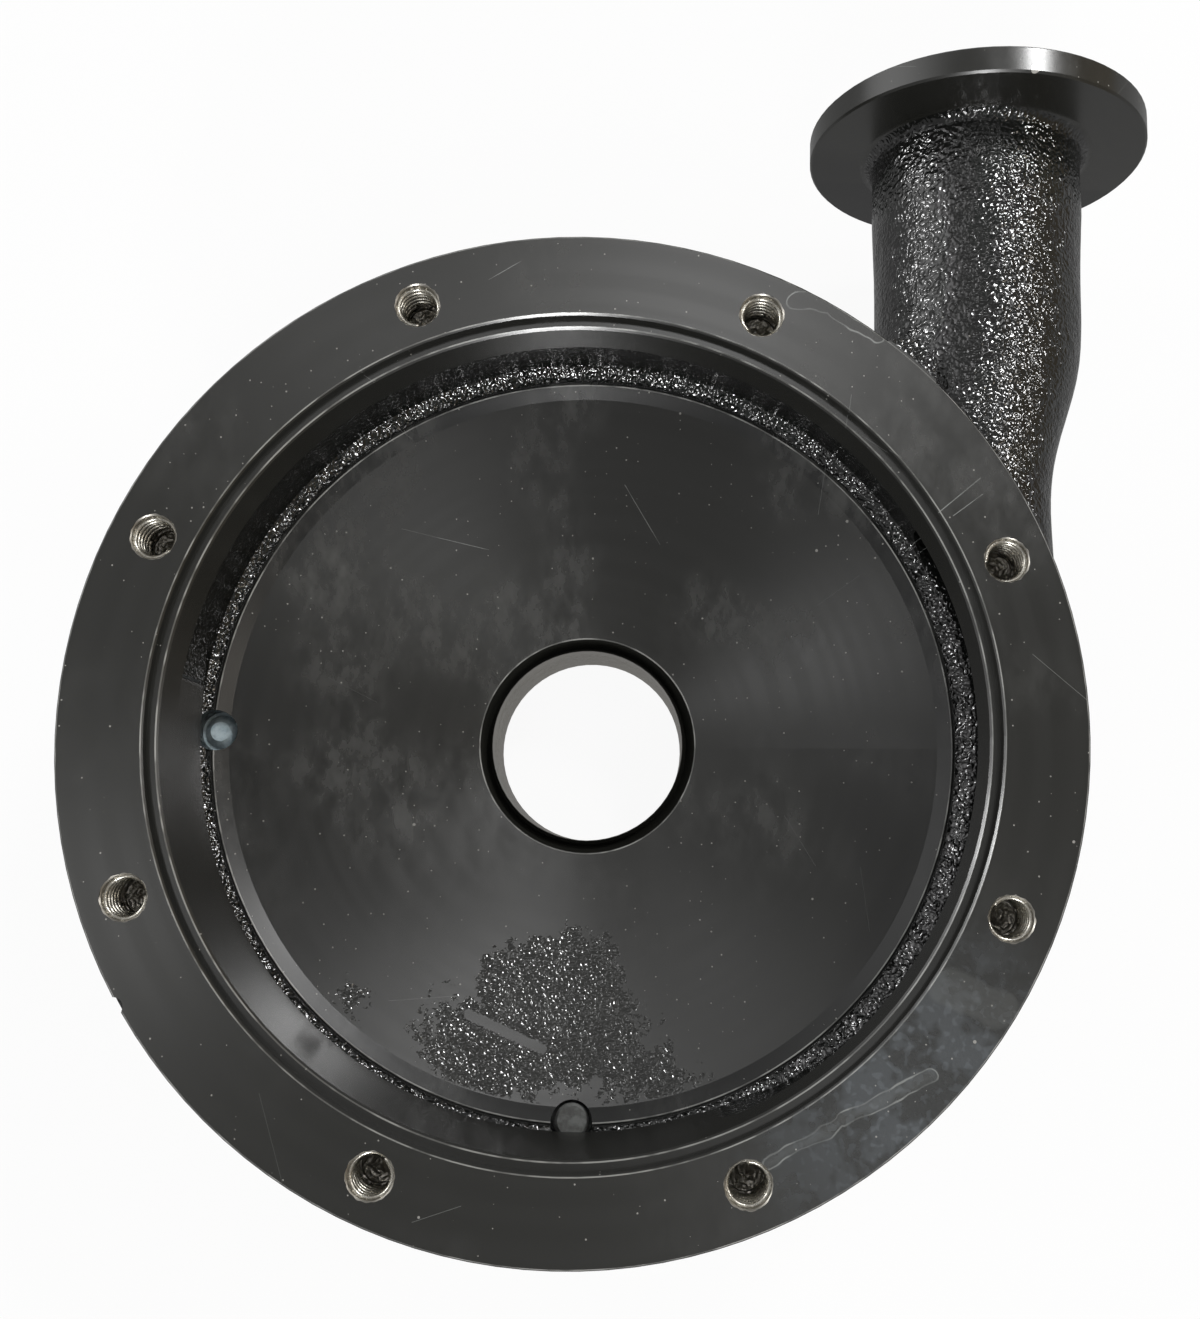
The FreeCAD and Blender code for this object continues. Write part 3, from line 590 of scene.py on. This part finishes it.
# %% Colours of the paint
CAST_PAINT = (0.0070, 0.0074, 0.0068, 1.0)
TURNED_PAINT = (0.0145, 0.0145, 0.0125, 1.0)
HAZE = (0.062, 0.062, 0.058, 1.0)
BLEACHED = (0.070, 0.079, 0.087, 1.0)
DUST = (0.42, 0.41, 0.38, 1.0)
CHALK = (0.26, 0.27, 0.26, 1.0)
BARE_IRON = (0.44, 0.42, 0.38, 1.0)
# Pale colour of the edge lines, partly a painted highlight
RUBBED_AND_HIGHLIT = (0.40, 0.40, 0.38, 1.0)
# Paler colour of the missed patch: painted sheen for the light its grains catch
PATCH_SHEEN = (0.030, 0.030, 0.028, 1.0)

haze = maths(tree, "MULTIPLY", dirt["Haze"],
             maths(tree, "MULTIPLY", zone["Machined"], upward))
haze = maths(tree, "MULTIPLY", haze,
             ramp(tree, z, FACE - 20 * MM, FACE - 1 * MM, 0.9, 0.35))
haze = maths(tree, "MULTIPLY", haze, ramp(tree, y, -30 * MM, 25 * MM, 0.45, 1.0))
# Painted shade: the turned land keeps the darker cast colour instead of the turned one,
# because its slope mirrors a dim part of the room.
shaded_land = maths(tree, "MULTIPLY",
                maths(tree, "GREATER_THAN", zone["Radius"], LAND_RADIUS),
                maths(tree, "LESS_THAN", z, SEAT_HEIGHT + 1 * MM))
thin_coat_but_shaded_land = maths(tree, "SUBTRACT", zone["Machined"], shaded_land, clamp=True)

# %% Lay the colours over each other
CHALKED = ((soaked, 0.10), (outlined, 0.75), (scratched, 0.65), (dirt["Scratches"], 0.45))
pale = 0.0
for mark, share in CHALKED:
    pale = maths(tree, "MAXIMUM", pale, maths(tree, "MULTIPLY", mark, share))
dusty = maths(tree, "MAXIMUM", chipped, maths(tree, "MULTIPLY", dirt["Dust"], 0.60))
COATS = ((thin_coat_but_shaded_land, TURNED_PAINT),
         # painted sheen on the missed patch
         (maths(tree, "MULTIPLY", zone["Missed"], 0.8), PATCH_SHEEN),
         (haze, HAZE),
         (maths(tree, "MULTIPLY", bleached, 0.60), BLEACHED),
         (pale, CHALK),
         # edge lines: partly worn paint, partly a painted highlight
         (maths(tree, "MULTIPLY", rubbed_and_highlit, 0.8), RUBBED_AND_HIGHLIT),
         (dusty, DUST),
         (zone["Bare"], BARE_IRON))
colour = CAST_PAINT
for amount, coat in COATS:
    colour = blend(tree, amount, colour, coat)
feed(tree, shader.inputs["Base Color"], colour)
feed(tree, shader.inputs["Metallic"], zone["Bare"])
print(len(COATS) + 1, "colours laid over each other")

# %% Gloss of the paint
CAST_ROUGHNESS = 0.11
TURNED_ROUGHNESS = 0.22
DULLED_ROUGHNESS = 0.55
BARE_ROUGHNESS = 0.36
shader.inputs["Specular IOR Level"].default_value = 0.9
dulled = maths(tree, "MAXIMUM", maths(tree, "MULTIPLY", haze, 0.5),
               maths(tree, "MULTIPLY", bleached, 0.45))
rough = blend_value(tree, smooth, CAST_ROUGHNESS, TURNED_ROUGHNESS)
rough = blend_value(tree, dulled, rough, DULLED_ROUGHNESS)
rough = maths(tree, "MULTIPLY_ADD", lathe["Streak"], 0.02, rough)
rough = blend_value(tree, zone["Bare"], rough, BARE_ROUGHNESS)
feed(tree, shader.inputs["Roughness"], rough)
print("paint gloss set")

# %% [markdown]
# ## Relief of the casing
#
# Two bumps follow each other. The cast one is deep, about half a millimetre,
# and only where no tool went. It also lifts the foot of the cast wall over
# the ledge, because the mould rounds that corner, and light runs round it.
# The turned one is under two thousandths deep: rings that the paint has
# nearly filled. They run one after the other, so each keeps its own depth in
# metres.

# %% Relief
FILLET_RISE = 3.6
CAST_DEPTH = 0.72 * MM
LATHE_DEPTH = 0.0016 * MM
SKIN_SHARE_OUTSIDE = 0.50
SKIN_SHARE_INSIDE = 0.85
LESS_IN_PATCH = -0.48
WORN_SHARE = 0.05
cast_bump = add_node(tree, "Bump")
cast_bump.inputs["Distance"].default_value = CAST_DEPTH
near_ledge = maths(tree, "MULTIPLY", maths(tree, "GREATER_THAN", z, 30 * MM),
                   maths(tree, "LESS_THAN", zone["Radius"], 82 * MM))
fillet = ramp(tree, zone["Radius"], LEDGE_INSIDE, LEDGE_OUTSIDE, 0.0, FILLET_RISE)
fillet = maths(tree, "MULTIPLY", near_ledge, fillet)
feed(tree, cast_bump.inputs["Height"], maths(tree, "ADD", cast["Height"], fillet))
skin_share = ramp(tree, zone["Radius"], 84 * MM, 80 * MM,
                  SKIN_SHARE_OUTSIDE, SKIN_SHARE_INSIDE)
depth = maths(tree, "MULTIPLY", maths(tree, "SUBTRACT", 1.0, smooth), skin_share)
depth = maths(tree, "MULTIPLY_ADD", zone["Missed"], LESS_IN_PATCH, depth)
depth = maths(tree, "MAXIMUM", depth, maths(tree, "MULTIPLY", worn, WORN_SHARE))
feed(tree, cast_bump.inputs["Strength"], depth)
fine_bump = add_node(tree, "Bump")
fine_bump.inputs["Distance"].default_value = LATHE_DEPTH
feed(tree, fine_bump.inputs["Height"], lathe["Height"])
feed(tree, fine_bump.inputs["Normal"], cast_bump.outputs["Normal"])
feed(tree, shader.inputs["Normal"], fine_bump.outputs["Normal"])
casing.data.materials.clear()
casing.data.materials.append(paint)
print("casing material:", len(tree.nodes), "nodes")

# %% [markdown]
# ## The two pipe plugs
#
# Taper plugs close the drain and the vent. One is plated with zinc, bluish, and
# the other is plain steel that has dulled. The zinc one is given a near-white
# colour with little metal in it: painted reflection, for the bright look the
# plating has under the flange's shade. Their ends stick up inside the scroll and
# carry the turning marks of a screw machine, and grime has settled round them.

# %% Plug materials


def plug_material(name, colour, stain, roughness, centre):
    """Plated or plain steel with turning marks about the plug's own axis."""
    material, tree, shader, place = start_material(name)
    local = vector_maths(tree, "SUBTRACT", place, Vector(centre))
    x, y, _ = parts_of(tree, local)
    lathe = place_group(tree, turned,
                        Radius=vector_maths(tree, "LENGTH", point(tree, x, y)))
    patches = ramp(tree, noise(tree, place, 420.0, 5.0, 0.65), 0.38, 0.68)
    feed(tree, shader.inputs["Base Color"], blend(tree, patches, colour, stain))
    # Little metal, so the colour shows; the zinc plug's near-white is painted reflection
    shader.inputs["Metallic"].default_value = 0.20
    feed(tree, shader.inputs["Roughness"],
         maths(tree, "MULTIPLY_ADD", patches, 0.15, roughness))
    bump = add_node(tree, "Bump")
    bump.inputs["Distance"].default_value = 0.02 * MM
    feed(tree, bump.inputs["Height"], maths(tree, "ADD", lathe["Height"], patches))
    feed(tree, shader.inputs["Normal"], bump.outputs["Normal"])
    return material


def middle(node):
    """The middle of a piece's box."""
    low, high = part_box(node)
    return (low + high) / 2


# Zinc: the plating's bluish tint, made near white as a painted reflection
PLUGS = {"vent_plug": ("zinc_plate", (0.78, 0.92, 0.98, 1.0),
                       (0.44, 0.57, 0.63, 1.0), 0.34),
         "drain_plug": ("dull_steel", (0.26, 0.27, 0.26, 1.0),
                        (0.13, 0.13, 0.125, 1.0), 0.42)}
for node, (name, colour, stain, roughness) in PLUGS.items():
    centre = middle(node)
    material = plug_material(name, colour, stain, roughness, (centre.x, centre.y, 0.0))
    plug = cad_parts[node]
    plug.data.materials.clear()
    plug.data.materials.append(material)
    print(node, "gets", name)

# %% [markdown]
# ## Threads in the cover holes
#
# The solid's holes are plain, at the thread's outer radius, so the ridges are
# added here. One ridge is a small triangle that climbs one pitch a turn. The
# spin operator can do that: it turns a few vertices about the hole's axis and
# lifts them a little at every step. One helix is made at the axis, and copies
# are turned out to the eight holes in one mesh. The spin gives its faces in
# another order each time, so they are sorted by their corners, and the mesh is
# the same on every run.

# %% Helix of one thread
STEPS_A_TURN = 40


def cut_thread(mesh, turns):
    """A right-hand ridge on the inside of a hole round the Z axis."""
    outer = THREAD_RADIUS + 0.03 * MM
    half_foot, half_crest = THREAD_PITCH * 0.46, THREAD_PITCH * 0.10
    bottom = FACE - THREAD_DEPTH + 0.1 * MM
    profile = [(outer, -half_foot), (THREAD_MINOR, -half_crest),
               (THREAD_MINOR, half_crest), (outer, half_foot)]
    corners = [mesh.verts.new((across, 0.0, bottom + THREAD_PITCH / 2 + lift))
               for across, lift in profile]
    edges = [mesh.edges.new(pair) for pair in zip(corners, corners[1:] + corners[:1])]
    steps = round(turns * STEPS_A_TURN)
    bmesh.ops.spin(mesh, geom=corners + edges, cent=(0, 0, 0), axis=(0, 0, 1),
                   dvec=(0, 0, THREAD_PITCH / STEPS_A_TURN), steps=steps,
                   angle=2 * math.pi * turns)
    ends = [edge for edge in mesh.edges if edge.is_boundary]
    bmesh.ops.holes_fill(mesh, edges=ends, sides=4)


turns = (THREAD_DEPTH - 1.0 * MM) / THREAD_PITCH - 0.5
helix = bmesh.new()
cut_thread(helix, turns)
bmesh.ops.recalc_face_normals(helix, faces=helix.faces)
helix.verts.index_update()
corner_count = len(helix.verts)


def by_corners(face):
    """One number from a face's corners, to put the faces in order."""
    number = 0
    for index in sorted(corner.index for corner in face.verts):
        number = number * corner_count + index
    return number


helix.faces.sort(key=by_corners)
one_thread = bpy.data.meshes.new("one_thread")
helix.to_mesh(one_thread)
helix.free()
print("one thread:", len(one_thread.polygons), "faces,", round(turns, 1), "turns")

# %% Eight threads in one mesh
all_threads = bmesh.new()
for number in range(SCREW_COUNT):
    turn = Matrix.Rotation(FIRST_SCREW + number * SCREW_STEP, 4, "Z")
    before = len(all_threads.verts)
    all_threads.from_mesh(one_thread)
    all_threads.verts.ensure_lookup_table()
    out_to_hole = turn @ Matrix.Translation((SCREW_CIRCLE, 0, 0))
    bmesh.ops.transform(all_threads, matrix=out_to_hole,
                        verts=all_threads.verts[before:])
for face in all_threads.faces:
    face.smooth = True
thread_mesh = bpy.data.meshes.new("screw_threads")
all_threads.to_mesh(thread_mesh)
all_threads.free()
threads = bpy.data.objects.new("screw_threads", thread_mesh)
bpy.context.scene.collection.objects.link(threads)
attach(threads, "root")
print("threads:", len(thread_mesh.polygons), "faces")

# %% Bare thread metal
CUT_METAL = (0.62, 0.60, 0.54, 1.0)
GRIMY_METAL = (0.30, 0.28, 0.24, 1.0)
bright, tree, shader, place = start_material("tapped_iron")
grime = ramp(tree, noise(tree, place, 700.0, 4.0, 0.7), 0.4, 0.7)
feed(tree, shader.inputs["Base Color"], blend(tree, grime, CUT_METAL, GRIMY_METAL))
shader.inputs["Metallic"].default_value = 1.0
feed(tree, shader.inputs["Roughness"], ramp(tree, grime, 0.0, 1.0, 0.26, 0.5))
tear = add_node(tree, "Bump")
tear.inputs["Distance"].default_value = 0.03 * MM
feed(tree, tear.inputs["Height"], noise(tree, place, 1800.0, 3.0))
feed(tree, shader.inputs["Normal"], tear.outputs["Normal"])
thread_mesh.materials.append(bright)
print("thread metal:", len(tree.nodes), "nodes")

# %% [markdown]
# ## Floor, room and lamps
#
# The casing lies on a pale table in a bright room. The table looks white to
# the camera and dim to reflections, but it is still an ordinary diffuse
# surface for the lamps, so the object's shadow stays. The room is a soft
# world light with a few brighter windows and one darker place, because black
# gloss shows whatever is round it. Each glow is a direction, how far it
# spreads and how strong it is. The steep grains mirror the low ones, and the
# flat faces don't. Four small lamps light the walls and the shadow.

# %% Table
TABLE_HALF_SIZE = 3.0
MIRRORED_TABLE = 0.30
SEEN_GLOW = 0.93
table_mesh = bpy.data.meshes.new("table")
sheet = bmesh.new()
bmesh.ops.create_grid(sheet, x_segments=1, y_segments=1, size=TABLE_HALF_SIZE)
bmesh.ops.translate(sheet, verts=sheet.verts, vec=(0, 0, cad_low.z - 0.2 * MM))
sheet.to_mesh(table_mesh)
sheet.free()
table = bpy.data.objects.new("table", table_mesh)
bpy.context.scene.collection.objects.link(table)

table_top = bpy.data.materials.new("table_top")
table_top.use_nodes = True
tree = table_top.node_tree
tree.nodes.clear()
rays = add_node(tree, "LightPath")
mirrored = maths(tree, "MAXIMUM", rays.outputs["Is Glossy Ray"],
                 rays.outputs["Is Transmission Ray"])
matt = add_node(tree, "BsdfDiffuse")
matt.inputs["Color"].default_value = (0.8, 0.8, 0.8, 1.0)
glow = add_node(tree, "Emission")
feed(tree, glow.inputs["Strength"], blend_value(tree, mirrored, 1.0, MIRRORED_TABLE))
share = add_node(tree, "MixShader")
feed(tree, share.inputs[0],
     maths(tree, "MULTIPLY_ADD", rays.outputs["Is Camera Ray"], SEEN_GLOW, mirrored))
tree.links.new(matt.outputs[0], share.inputs[1])
tree.links.new(glow.outputs[0], share.inputs[2])
out = add_node(tree, "OutputMaterial")
tree.links.new(share.outputs[0], out.inputs["Surface"])
table_mesh.materials.append(table_top)
print("table at", round(cad_low.z * 1000, 2), "mm")

# %% Room
world = bpy.data.worlds.new("room")
bpy.context.scene.world = world
world.use_nodes = True
tree = world.node_tree
tree.nodes.clear()
direction = add_node(tree, "TexCoord").outputs["Generated"]
EVEN_LIGHT = 0.22
WHITE = (1.0, 1.0, 1.0, 1.0)
WARM_LIGHT = (1.0, 0.82, 0.58, 1.0)
GLOWS = [
    ((0.03, 0.36, 0.93), 0.19, 3.30),
    ((-0.22, 0.36, 0.90), 0.13, 1.20),
    ((0.43, 0.39, 0.81), 0.14, 5.50),
    ((0.00, -0.68, 0.73), 0.19, 13.00),
    ((0.64, -0.04, 0.76), 0.14, 6.00),
    ((-0.38, -0.06, 0.92), 0.12, 2.60),
    ((0.17, -0.19, 0.96), 0.18, 1.00),
    ((-0.85, 0.35, 0.35), 0.80, 1.45),]
SHADE_TOWARDS, SHADE_SPREAD, SHADED_SHARE = (0.25, 0.17, 0.95), 0.17, 0.60


def away_from(towards):
    """How far the looked-at direction is from another one."""
    return vector_maths(tree, "DISTANCE", direction, Vector(towards).normalized())


level = EVEN_LIGHT
for towards, spread, strength in GLOWS:
    level = maths(tree, "ADD", level,
                  ramp(tree, away_from(towards), spread, 0.0, 0.0, strength))
shade = ramp(tree, away_from(SHADE_TOWARDS), SHADE_SPREAD, 0.05, 1.0, 1.0 - SHADED_SHARE)
level = maths(tree, "MULTIPLY", level, shade)
seen = add_node(tree, "LightPath").outputs["Is Camera Ray"]
level = blend_value(tree, seen, level, 1.0)
warm_side = ramp(tree, parts_of(tree, direction)[0], 0.40, 0.85)
warm_side = maths(tree, "SUBTRACT", warm_side, seen, clamp=True)
sky = add_node(tree, "Background")
feed(tree, sky.inputs["Color"], blend(tree, warm_side, WHITE, WARM_LIGHT))
feed(tree, sky.inputs["Strength"], level)
out = add_node(tree, "OutputWorld")
tree.links.new(sky.outputs[0], out.inputs["Surface"])
print("room light with", len(GLOWS), "bright sides")

# %% Lamps
aim = Vector((0.0, 0.0, 0.05))
LAMPS = {"ceiling_lamp_far": ((0.60, 0.85, 1.00), 0.24, 7.0),
         "ceiling_lamp_left": ((-1.35, 0.45, 0.55), 0.20, 3.5),
         "ceiling_lamp_right": ((1.15, 0.25, 0.80), 0.18, 3.0),
         "ceiling_lamp_near": ((0.05, -1.25, 0.70), 0.20, 8.0)}
for name, (spot_of, size, power) in LAMPS.items():
    lamp = bpy.data.lights.new(name, "AREA")
    lamp.size = size
    lamp.energy = power
    holder = bpy.data.objects.new(name, lamp)
    holder.location = spot_of
    holder.rotation_euler = (aim - Vector(spot_of)).to_track_quat("-Z", "Y").to_euler()
    bpy.context.scene.collection.objects.link(holder)
print(len(LAMPS), "lamps")

# %% [markdown]
# ## The camera
#
# A phone held straight above the casing, a little off its axis and not quite
# level, sees the bore almost straight on, but the near walls open out. The
# lens and place below give that view. A small shift frames the nozzle.

# %% Camera
lens = bpy.data.cameras.new("phone")
lens.sensor_width = 36.0
lens.sensor_fit = "HORIZONTAL"
lens.lens = 40.846
lens.shift_x = -0.0570
lens.shift_y = -0.0146
lens.clip_start = 0.01
camera = bpy.data.objects.new("phone", lens)
camera.location = (13.659 * MM, -21.327 * MM, 311.578 * MM)
LEAN = (8.6045, -0.8072, 1.4097)
camera.rotation_euler = Euler([math.radians(turn) for turn in LEAN], "XYZ")
bpy.context.scene.collection.objects.link(camera)
bpy.context.scene.camera = camera
bpy.context.scene.view_settings.view_transform = "Standard"
print("camera", round(camera.location.z - FACE, 3), "m above the cover face")
